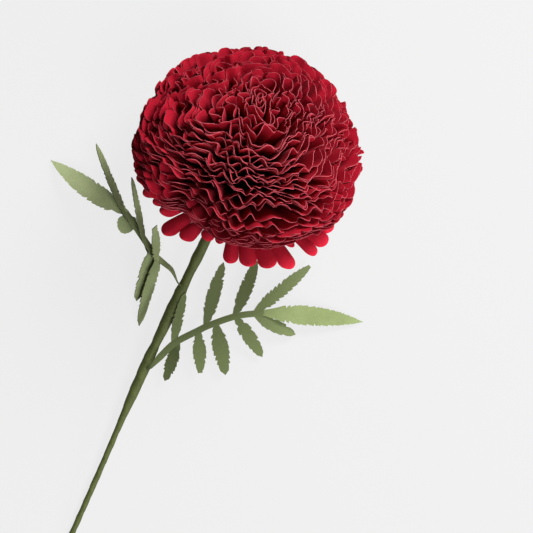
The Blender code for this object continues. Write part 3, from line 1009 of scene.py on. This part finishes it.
            # The hole and knee rows keep the deep colour and each petal grows to the lit one at its tip:
            # painted shade under the ball
            for r, reach in ((self.hole, 0.0), (knee, 0.1)):
                spread = [start + c / across * (end - start) for c in range(across + 1)]
                rows.append([put(r, a, self.skirt_seat, reach) for a in spread])
            for i in range(self.skirt_up + 1):
                t = math.sin(math.pi / 2 * i / self.skirt_up)
                spot = self.skirt_notch + (length - self.skirt_notch) * t
                curve = max(0.0, (spot - (length - half_width)) / half_width)
                taper = max(0.0, 1.0 - curve**blunt) ** 0.5
                grow = min(1.0, (spot - self.skirt_notch) / self.skirt_opening)
                rise = self.skirt_rise + (1 - self.skirt_rise) * t
                base = self.skirt_seat + (self.skirt_rim - self.skirt_seat) * rise + lift * t
                bulge = crown * min(1.0, 3 * t) * (1 - 0.5 * t**3)
                row = []
                for c in range(across + 1):
                    x = 2 * c / across - 1
                    room = middle - start if x < 0 else end - middle
                    width = min(half_width, self.skirt_room * room * spot) * taper
                    side = x * (room * self.skirt_notch * (1 - grow) + width * grow)
                    z = base + twist * side * t + bulge * (1 - x**2) - self.skirt_droop * t**4
                    row.append(put(spot, middle + side / spot, z, t))
                rows.append(row)
            for near, far in zip(rows, rows[1:]):
                for c in range(across):
                    bm.faces.new((near[c], near[c + 1], far[c + 1], far[c]))
        return finished_mesh("skirt_of_long_petals", bm, self.placing())

    def build(self) -> None:
        """Build and dress all the discs, a pair of sheets for each packed disc, and the skirt."""
        rims, folds = self.folded_rims()
        place = self.placing()
        materials = [self.finish.build(), self.edge.build()]
        for j in range(self.layers):
            layer = self.layers - j
            pair = range(j * self.sheets_per_layer, (j + 1) * self.sheets_per_layer)
            sheets = [self.sheet_rows(k, rims[k], folds[k]) for k in pair]
            mesh = rings_mesh(f"ruffled_discs_{layer:02d}", "reach", sheets)
            mesh.transform(place)
            piece = add_piece(f"ruffled_discs_{layer:02d}", mesh, materials)
            thicken(piece, self.paper)
            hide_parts(f"petal_layer_{layer:02d}")
        materials[0] = self.skirt_paper_painted_light.build()
        piece = add_piece("skirt_of_long_petals", self.skirt_mesh(), materials)
        thicken(piece, self.paper)
        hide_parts("petal_skirt")


@dataclass
class TapedStem:
    """The stem: floral tape wound in a spiral over the wire, thicker where the leaf stalks lie under it."""

    route: Sequence[Spot] = (
        (1.6, -26.5, 19.6), (-1.4, -40.0, 17.6), (-2.6, -60.0, 15.9), (-3.5, -85.0, 13.7),
        (-4.3, -110.0, 11.5), (-4.6, -140.0, 8.8), (-4.4, -175.0, 5.6), CUT_END,
    )
    # Radius over the tape by the distance from the tape's start
    radii: Sequence[Range] = (
        (0, 2.7), (22, 2.5), (46, 2.8), (57, 2.3), (66, 3.0), (78, 3.1), (87, 2.8), (95, 2.3), (103, 2.9),
        (110, 2.8), (121, 2.6), (126, 2.4), (130, 2.15), (134, 1.95), (138, 1.75), (143, 1.55), (200, 1.5),
    )
    straight: float = 5.0
    top_end: float = 1.0
    under_seat: float = 0.5
    bare_end: float = 1.5
    # One turn of the tape: it rises over the turn before and falls back at its edge, in shares of a turn
    turn_pitch: float = 9.0
    lap: float = 0.16
    lap_under: float = 0.12
    lap_edge: float = 0.9
    lap_fall: float = 9.0
    # Painted shade of each turn, and the painted light it gains as its lap rises
    shade: float = 0.35
    lap_shade: float = 0.25
    # Slow unevenness along the stem
    lumps: int = 5
    lump_rate: Range = (0.25, 0.9)
    lump_size: Range = (0.4, 1.0)
    ripple: float = 0.05
    seed: int = 31
    sides: int = 28
    step: float = 0.7
    tape: FloralTape = FloralTape()
    wire: FloristWire = FloristWire("annealed_steel_wire", "#a9a8a2", "#6d6c66", 1.0, 0.42)

    def centre_line(self, head: PetalHead) -> Route:
        """Lead the wire from the top seat to the cut end.

        Args:
            head: the ball that sits on it.

        Returns:
            The route, in millimetres.
        """
        heights = (
            head.skirt_seat + head.seat_pitch * head.layers + self.top_end,
            head.skirt_seat + head.seat_pitch * (head.layers // 2),
            head.skirt_seat,
            head.skirt_seat - self.straight,
        )
        lean, lift = head.lean(), Vector((0.0, 0.0, head.centre_height))
        inside = [lean @ Vector((0.0, 0.0, height)) + lift for height in heights]
        return Route(inside + [Vector(spot) for spot in self.route])

    def wound_rows(self, route: Route) -> tuple[np.ndarray, np.ndarray]:
        """Lay the tape's rings along the wire, from under the skirt to near the cut end.

        Args:
            route: the wire's route.

        Returns:
            The points in metres as rings x sides x 3, and each point's share of light in its turn.
        """
        start = (route.points[0] - route.points[2]).length + self.under_seat
        end = route.total - self.bare_end
        rings = round((end - start) / self.step)
        draw = random.Random(self.seed)
        lumps = [
            (draw.uniform(*self.lump_rate), draw.uniform(*SHIFTS), draw.uniform(*self.lump_size))
            for _ in range(self.lumps)
        ]
        offset = design_offset()
        side = Vector((1.0, 0.0, 0.0))
        verts, winds = [], []
        for i in range(rings + 1):
            distance = start + (end - start) * i / rings
            along = route.along(distance)
            across = (side - along * side.dot(along)).normalized()
            up = along.cross(across)
            centre = route.at(distance)
            base = read_table(self.radii, distance - start) - self.lap_under
            for k in range(self.sides):
                angle = FULL_TURN * k / self.sides
                phase = ((distance - start) / self.turn_pitch + k / self.sides) % 1.0
                fold = phase if phase < self.lap_edge else (1.0 - phase) * self.lap_fall
                radius = base + self.lap * fold
                for rate, shift, size in lumps:
                    radius += self.ripple * size * math.sin(rate * distance + shift + 2 * angle)
                vert = centre + (across * math.cos(angle) + up * math.sin(angle)) * radius
                verts.append(vert * MM + offset)
                # Painted light and shade: lighter as the lap rises over the turn before, darker where it
                # falls back at its edge
                winds.append(self.shade + self.lap_shade * fold)
        return np.array(verts).reshape(rings + 1, self.sides, 3), np.array(winds)

    def build(self, head: PetalHead) -> None:
        """Build the wound tape over the head's wire and dress the wire itself.

        Args:
            head: the ball that the wire carries.
        """
        mesh = rings_mesh("wound_tape", "lap_light_and_shade", [self.wound_rows(self.centre_line(head))], capped=True)
        piece = add_piece("wound_tape", mesh, [self.tape.build()])
        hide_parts("stem_tape")
        dress_node("stem_wire", self.wire.build())


@dataclass(frozen=True)
class Leaflet:
    """One leaflet: how far along the rib its base lies, on which side (1 or -1), and where its tip is.

    Its roll turns its face from flat to upright, in degrees, and its tip may be cut blunt.
    """

    distance: float
    side: int
    tip: Spot
    width: float
    roll: float
    tip_width: float = 0.12


@dataclass
class CutLeaf:
    """A leaf cut from one sheet: a slightly ridged rib with toothed leaflets."""

    side: Side
    # Point under the tape where the stalk starts
    root: Spot
    rib: Sequence[Spot]
    # Roll of the rib in degrees, at even steps along it
    rolls: Sequence[float]
    leaflets: Sequence[Leaflet]
    terminal: Leaflet
    finish: CraftPaper
    edge: CutEdge
    covered_wire: FloristWire

    paper: float = 0.4
    root_width: float = 1.4
    root_reach: float = 7.0
    rib_width: float = 3.4
    rib_tip_width: float = 3.2
    ridge: float = 0.25
    rib_step: float = 1.5
    # Width of a leaflet's base on the rib, and the share of its length in which that gives way to its form
    base: float = 3.2
    base_share: float = 0.16

    # A leaflet's form: a belly above 1 puts its widest place further out, and a fullness below 1 keeps it
    # wide for longer
    belly: float = 1.08
    fullness: float = 0.5
    terminal_fullness: float = 0.85
    form_start: float = 0.16
    least_half_width: float = 0.12
    bow: Range = (-0.03, 0.03)
    sway: Range = (-0.02, 0.02)

    tooth_pitch: float = 2.9
    tooth_depth: float = 1.0
    tooth_reach: float = 0.6
    first_tooth: float = 0.14
    last_tooth: float = 0.93
    fewest_teeth: int = 3
    tooth_spread: Range = (0.5, 1.5)
    tooth_depth_spread: Range = (0.3, 1.3)
    tooth_side_spread: Range = (0.6, 1.25)
    tooth_fade: float = 4.0
    tip_notch: float = 0.3
    # One tooth: shares of its length, and of its notch's depth there
    tooth_profile: Sequence[Range] = ((0.0, 1.0), (0.45, 0.4), (0.92, 0.0))

    # Where the colour starts between the deep and the lit one, and how much it gains to the tip: painted
    # light, lighter along the rib, towards the leaflets' tips and on the terminal leaflet
    tone: float = 0.05
    terminal_tone: float = 0.85
    rib_gain: float = 0.2
    leaflet_gain: float = 0.15

    def width_direction(self, along: Vector, roll: float) -> Vector:
        """Find the direction across a strip.

        Args:
            along: the strip's own direction.
            roll: how far it is rolled from flat towards upright, in degrees.

        Returns:
            The unit direction across it.
        """
        flat = Vector((0.0, 0.0, 1.0)).cross(along).normalized()
        upright = along.cross(flat)
        angle = math.radians(roll)
        return flat * math.cos(angle) + upright * math.sin(angle)

    def form(self, share: float, fullness: float) -> float:
        """Share of a leaflet's half width that it has at a share of its length."""
        place = self.form_start + (1.0 - self.form_start) * share**self.belly
        return math.sin(math.pi * min(1.0, place)) ** fullness

    def teeth(self, size: float, draw: random.Random) -> list[Range]:
        """Cut teeth of uneven size along a leaflet.

        Args:
            size: the leaflet's length.
            draw: its random draw.

        Returns:
            Shares of its length, each with the depth of the notch there.
        """
        span = self.last_tooth - self.first_tooth
        count = max(self.fewest_teeth, round(span * size / self.tooth_pitch))
        widths = np.array([draw.uniform(*self.tooth_spread) for _ in range(count)])
        starts = np.concatenate([[0.0], np.cumsum(widths)]) / widths.sum()
        marks = [(0.0, 0.0), (self.first_tooth / 2, 0.0)]
        for near, far in zip(starts, starts[1:]):
            fade = min(1.0, (1.0 - near) * self.tooth_fade)
            depth = self.tooth_depth * draw.uniform(*self.tooth_depth_spread) * fade
            for part, share in self.tooth_profile:
                marks.append((self.first_tooth + span * (near + (far - near) * part), depth * share))
        return marks + [(self.last_tooth, self.tip_notch), (1.0, 0.0)]

    def add_row(
        self,
        bm: bmesh.types.BMesh,
        spots: Sequence[Vector],
        tone: float,
        last: Sequence[bmesh.types.BMVert],
    ) -> list[bmesh.types.BMVert]:
        """Add a row of points across a strip and join it to the row before.

        Args:
            bm: the leaf's mesh so far.
            spots: the row's three points.
            tone: where its colour lies between the deep and the lit one.
            last: the row before, empty at the strip's start.

        Returns:
            The new row.
        """
        layer = bm.verts.layers.float["reach"]
        row = [bm.verts.new(spot) for spot in spots]
        for vert in row:
            vert[layer] = tone
        for i in range(len(last) - 1):
            bm.faces.new((last[i], last[i + 1], row[i + 1], row[i]))
        return row

    def leaflet_strip(
        self, bm: bmesh.types.BMesh, base: Sequence[Vector], leaflet: Leaflet, tone: float, fullness: float
    ) -> None:
        """Add one leaflet from the two points of its base to its tip.

        Args:
            bm: the leaf's mesh so far.
            base: the two points on the rib, in the order of the rib's side.
            leaflet: its tip, width and roll.
            tone: where its colour starts between the deep and the lit one.
            fullness: 1 for a slender leaflet, less for one that keeps its width longer.
        """
        tip = Vector(leaflet.tip)
        middle = (base[0] + base[1]) / 2
        along = (tip - middle).normalized()
        size = (tip - middle).length
        across = self.width_direction(along, leaflet.roll)
        if across.dot(base[1] - base[0]) < 0:
            across.negate()
        face = across.cross(along).normalized()
        draw = random.Random(int(leaflet.distance * 10) + leaflet.side)
        bow = draw.uniform(*self.bow) * size
        sway = draw.uniform(*self.sway) * size
        last: list[bmesh.types.BMVert] = []
        for t, notch in self.teeth(size, draw):
            centre = middle.lerp(tip, t) + (face * bow + across * sway) * math.sin(math.pi * t)
            full = (leaflet.width + self.tooth_reach) / 2 * self.form(t, fullness)
            ramp = min(1.0, t / self.base_share)
            half = self.base / 2 * (1 - ramp) + max(full, leaflet.tip_width / 2) * ramp
            edges = []
            for way in (-1, 1):
                cut = notch * draw.uniform(*self.tooth_side_spread) * min(1.0, half / 2.0)
                edges.append(centre + across * way * max(self.least_half_width, half - cut))
            spots = [edges[0], centre, edges[1]]
            if t == 0.0:
                spots = [base[0], middle, base[1]]
            if t == 1.0:
                end = across * leaflet.tip_width / 2
                spots = [centre - end, centre, centre + end]
            last = self.add_row(bm, spots, tone + self.leaflet_gain * t, last)

    def stations(self, total: float) -> list[float]:
        """Choose the places of the rib's rows, with one at each side of every leaflet's base.

        Args:
            total: the rib's length.

        Returns:
            Distances along the rib.
        """
        marks = {0.0, total}
        for leaflet in self.leaflets:
            marks |= {leaflet.distance - self.base / 2, leaflet.distance + self.base / 2}
        ordered = sorted(marks)
        places = [0.0]
        for near, far in zip(ordered, ordered[1:]):
            parts = math.ceil((far - near) / self.rib_step)
            places += [near + (far - near) * k / parts for k in range(1, parts)] + [far]
        return places

    def rib_strip(self, bm: bmesh.types.BMesh, route: Route) -> dict[float, tuple[Vector, Vector]]:
        """Add the rib, from under the tape to the terminal leaflet.

        Args:
            bm: the leaf's mesh so far.
            route: the rib's curve.

        Returns:
            The rib's two edge points by distance along it.
        """
        rolls = [(route.total * k / (len(self.rolls) - 1), roll) for k, roll in enumerate(self.rolls)]
        root = Vector(self.root)
        across = self.width_direction((route.at(0.0) - root).normalized(), self.rolls[0])
        start = [root + across * way * self.root_width / 2 for way in (1, 0, -1)]
        last = self.add_row(bm, start, self.tone, [])
        rims: dict[float, tuple[Vector, Vector]] = {}
        for distance in self.stations(route.total):
            along = route.along(distance)
            across = self.width_direction(along, read_table(rolls, distance))
            full = self.rib_width + (self.rib_tip_width - self.rib_width) * distance / route.total
            half = (self.root_width + (full - self.root_width) * min(1.0, distance / self.root_reach)) / 2
            centre = route.at(distance)
            rims[distance] = (centre + across * half, centre - across * half)
            ridge = centre - across.cross(along).normalized() * self.ridge
            tone = self.tone + self.rib_gain * distance / route.total
            last = self.add_row(bm, (rims[distance][0], ridge, rims[distance][1]), tone, last)
        return rims

    def build(self) -> None:
        """Build and dress the leaf and its wire."""
        route = Route([Vector(spot) for spot in self.rib])
        bm = bmesh.new()
        bm.verts.layers.float.new("reach")
        rims = self.rib_strip(bm, route)
        for leaflet in self.leaflets:
            near = rims[leaflet.distance - self.base / 2]
            far = rims[leaflet.distance + self.base / 2]
            which = 0 if leaflet.side > 0 else 1
            tone = self.tone + self.rib_gain * leaflet.distance / route.total
            self.leaflet_strip(bm, (near[which], far[which]), leaflet, tone, self.fullness)
        end = rims[route.total]
        self.leaflet_strip(bm, (end[1], end[0]), self.terminal, self.terminal_tone, self.terminal_fullness)
        place = Matrix.Translation(design_offset()) @ Matrix.Scale(MM, 4)
        mesh = finished_mesh(f"cut_leaf_{self.side.value}", bm, place)
        piece = add_piece(f"cut_leaf_{self.side.value}", mesh, [self.finish.build(), self.edge.build()])
        thicken(piece, self.paper)
        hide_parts(f"leaf_{self.side.value}")
        dress_node(f"leaf_wire_{self.side.value}", self.covered_wire.build())


OLIVE_PAPER = CraftPaper("olive_craft_paper", "#9baa73", "#5f6945", "#768250", fibre_mm=0.8)
# The left leaf's paper is a paler copy of the olive paper: painted light where the ball shades the leaf
OLIVE_PAPER_PAINTED_LIGHT = CraftPaper("olive_craft_paper_painted_light", "#dceaae", "#747f57", "#a5b17c", fibre_mm=0.8)
# The leaves' cut edge is darker green than their faces: painted shade of the edge in shadow
OLIVE_EDGE_PAINTED_SHADE = CutEdge("olive_cut_edge_painted_shade", "#4b5636", "#6c7850")
COVERED_WIRE = FloristWire("paper_covered_wire", "#5c6a3c", "#465230", 0.0, 0.8)


def right_leaf() -> CutLeaf:
    """The leaf that faces the viewer."""
    return CutLeaf(
        side=Side.RIGHT,
        root=(-3.4, -118.2, 13.2),
        rib=(
            (-1.6, -117.0, 15.2), (1.2, -108.5, 14.6), (4.8, -100.3, 13.6), (12.6, -90.6, 12.0),
            (17.0, -85.5, 11.2), (27.6, -75.9, 9.5), (39.5, -69.0, 8.0),
        ),
        rolls=(0, 0),
        leaflets=(
            Leaflet(18.0, 1, (-1.0, -75.5, 17.0), 5.4, 30),
            Leaflet(18.0, -1, (7.4, -120.9, 6.0), 6.4, 20),
            Leaflet(30.0, -1, (22.1, -110.0, 5.0), 6.4, -8, 2.4),
            Leaflet(36.0, 1, (10.5, -53.8, 12.0), 6.6, 8),
            Leaflet(40.0, -1, (34.3, -105.8, 4.0), 8.0, 5),
            Leaflet(51.5, 1, (25.3, -46.5, 10.0), 6.6, -6, 2.6),
            Leaflet(51.5, -1, (47.7, -89.9, 3.0), 6.8, 8),
            Leaflet(62.0, 1, (51.1, -38.0, 6.0), 6.6, 10, 1.6),
            Leaflet(62.0, -1, (58.5, -72.8, 3.0), 6.4, -10),
        ),
        terminal=Leaflet(0.0, 1, (87.4, -53.1, 0.6), 9.6, 0),
        finish=OLIVE_PAPER,
        edge=OLIVE_EDGE_PAINTED_SHADE,
        covered_wire=COVERED_WIRE,
    )


def left_leaf() -> CutLeaf:
    """The leaf that is turned edge-on."""
    return CutLeaf(
        side=Side.LEFT,
        root=(-4.4, -73.2, 17.0),
        rib=(
            (-6.4, -72.3, 18.5), (-11.3, -67.9, 19.6), (-16.0, -66.3, 21.5), (-21.7, -64.5, 23.5),
            (-28.5, -60.2, 25.5), (-36.6, -55.1, 26.5), (-43.7, -50.9, 24.0),
        ),
        rolls=(80, 55, 38, 30, 25, 20, 12),
        leaflets=(
            Leaflet(16.5, 1, (-26.8, -51.6, 38.0), 6.4, 55, 4.0),
            Leaflet(16.5, -1, (-15.9, -100.8, 4.0), 7.6, -52),
            Leaflet(25.5, 1, (-46.9, -33.8, 38.0), 7.0, 70),
            Leaflet(22.0, -1, (-22.0, -89.6, 8.0), 8.4, -45),
            Leaflet(35.0, -1, (-16.9, -74.0, 10.0), 5.0, 65),
            Leaflet(40.5, 1, (-71.8, -25.3, 16.0), 7.4, 66),
            Leaflet(42.5, -1, (-41.3, -60.8, 19.0), 9.5, -18, 2.4),
        ),
        terminal=Leaflet(0.0, 1, (-91.2, -42.0, 0.6), 9.8, 0),
        finish=OLIVE_PAPER_PAINTED_LIGHT,
        edge=OLIVE_EDGE_PAINTED_SHADE,
        covered_wire=COVERED_WIRE,
        tone=0.02,
    )


@dataclass(frozen=True)
class Lamp:
    """A soft square lamp: its direction in the picture's axes, distance and size in metres, and power."""

    name: str
    toward: Spot
    distance: float
    size: float
    watts: float


@dataclass
class Studio:
    """A pale floor, soft lamps and the camera over the flower."""

    camera_height: float = 900.0
    mm_per_pixel: float = 0.482
    picture: int = 533
    sensor: float = 36.0
    above: Range = (31.1, -47.1)
    roll: float = math.radians(23.83)
    clip_end_m: float = 20.0
    floor_half_m: float = 3.0
    background: BackgroundPaper = BackgroundPaper()
    world_strength: float = 0.04
    lamps: Sequence[Lamp] = (
        Lamp("key_lamp", (0.6, 0.7, 0.78), 1.1, 0.42, 11.0),
        Lamp("fill_lamp", (0.45, -0.5, 1.15), 1.4, 0.6, 8.5),
        Lamp("side_lamp", (0.9, -0.75, 0.55), 1.2, 0.4, 5.0),
    )

    def hang_camera(self, head: PetalHead) -> None:
        """Hang the camera straight over the flower, turned so that the stem runs to the lower left.

        Args:
            head: the ball, whose centre's height gives the picture's scale.
        """
        data = bpy.data.cameras.new("camera")
        camera = add_object("camera", data)
        place = Vector((*self.above, head.centre_height + self.camera_height)) * MM
        camera.location = place + design_offset()
        camera.rotation_euler = (0.0, 0.0, self.roll)
        data.sensor_width = self.sensor
        data.lens = self.sensor * self.camera_height / (self.mm_per_pixel * self.picture)
        data.clip_end = self.clip_end_m
        bpy.context.scene.camera = camera

    def hang_lamp(self, lamp: Lamp) -> None:
        """Add one lamp that looks at the flower.

        Args:
            lamp: its place, size and power.
        """
        data = bpy.data.lights.new(lamp.name, "AREA")
        data.size = lamp.size
        data.energy = lamp.watts
        way = (Matrix.Rotation(self.roll, 4, "Z") @ Vector(lamp.toward)).normalized()
        light = add_object(lamp.name, data)
        light.location = way * lamp.distance
        light.rotation_euler = way.to_track_quat("Z", "Y").to_euler()

    def lay_floor(self) -> None:
        """Lay the background paper under the flower."""
        half = self.floor_half_m
        mesh = bpy.data.meshes.new("pale_floor")
        corners = [(-half, -half, 0.0), (half, -half, 0.0), (half, half, 0.0), (-half, half, 0.0)]
        mesh.from_pydata(corners, [], [(0, 1, 2, 3)])
        mesh.materials.append(self.background.build())
        add_object("pale_floor", mesh)

    def light_world(self) -> None:
        """Light everything softly from all round, and show a pale backdrop to the camera."""
        world = bpy.data.worlds.new("soft_studio")
        bpy.context.scene.world = world
        world.use_nodes = True
        tree = world.node_tree
        tree.nodes.clear()
        ambient = add_node(tree, "Background", {"Color": srgb("#ffffff"), "Strength": self.world_strength})
        backdrop = add_node(tree, "Background", {"Color": srgb(self.background.pale), "Strength": 1.0})
        ends: Links = {
            "Fac": seen_directly(tree),
            1: ambient.outputs["Background"],
            2: backdrop.outputs["Background"],
        }
        mix = add_node(tree, "MixShader", None, ends)
        add_node(tree, "OutputWorld", None, {"Surface": mix.outputs["Shader"]})

    def build(self, head: PetalHead) -> None:
        """Set up the studio round the flower.

        Args:
            head: the ball that the camera is set by.
        """
        self.hang_camera(head)
        for lamp in self.lamps:
            self.hang_lamp(lamp)
        self.lay_floor()
        self.light_world()
        bpy.context.scene.view_settings.view_transform = "Standard"


def main() -> None:
    """Build the flower and its studio."""
    logging.basicConfig(level=logging.INFO, format="%(name)s: %(message)s")
    head = PetalHead()
    head.build()
    TapedStem().build(head)
    right_leaf().build()
    left_leaf().build()
    Studio().build(head)


if __name__ == "__main__":
    main()
